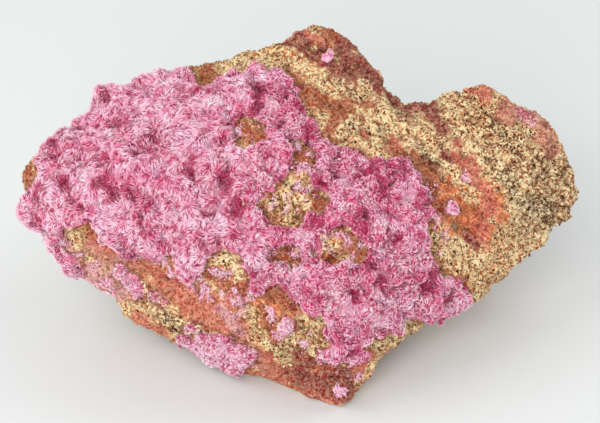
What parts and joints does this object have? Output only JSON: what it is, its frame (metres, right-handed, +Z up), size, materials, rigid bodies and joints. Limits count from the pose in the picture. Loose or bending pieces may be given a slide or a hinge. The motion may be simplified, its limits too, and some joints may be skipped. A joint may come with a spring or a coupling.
{
  "type": "erythrite specimen",
  "caption": "Broken lump of iron-stained ore, resting on a flat break, with a thick crust of fine pink erythrite crystals over its front and small crystal tufts beside it.",
  "frame": {"origin": "middle of the specimen's footprint, on the surface that it rests on", "axes": "+Z up, +X to the right of the side that carries the crystals and along the longest extent, +Y from that front side to the back"},
  "size_m": [0.0852, 0.0536, 0.0414],
  "materials": {
    "weathered_ore": "rough, granular sandy tan ore with rusty orange and maroon stains, dark specks and pits",
    "erythrite": "fine feathery pink crystals, whitish at their tips and deep magenta in the hollows"
  },
  "bodies": {
    "root": {"ore_matrix": "weathered_ore", "erythrite_crust": "erythrite", "erythrite_side_band": "erythrite", "erythrite_lower_crust": "erythrite", "erythrite_tuft_foot": "erythrite", "erythrite_tuft_ledge": "erythrite", "erythrite_tuft_right": "erythrite", "erythrite_tuft_top": "erythrite"}
  },
  "joints": []
}
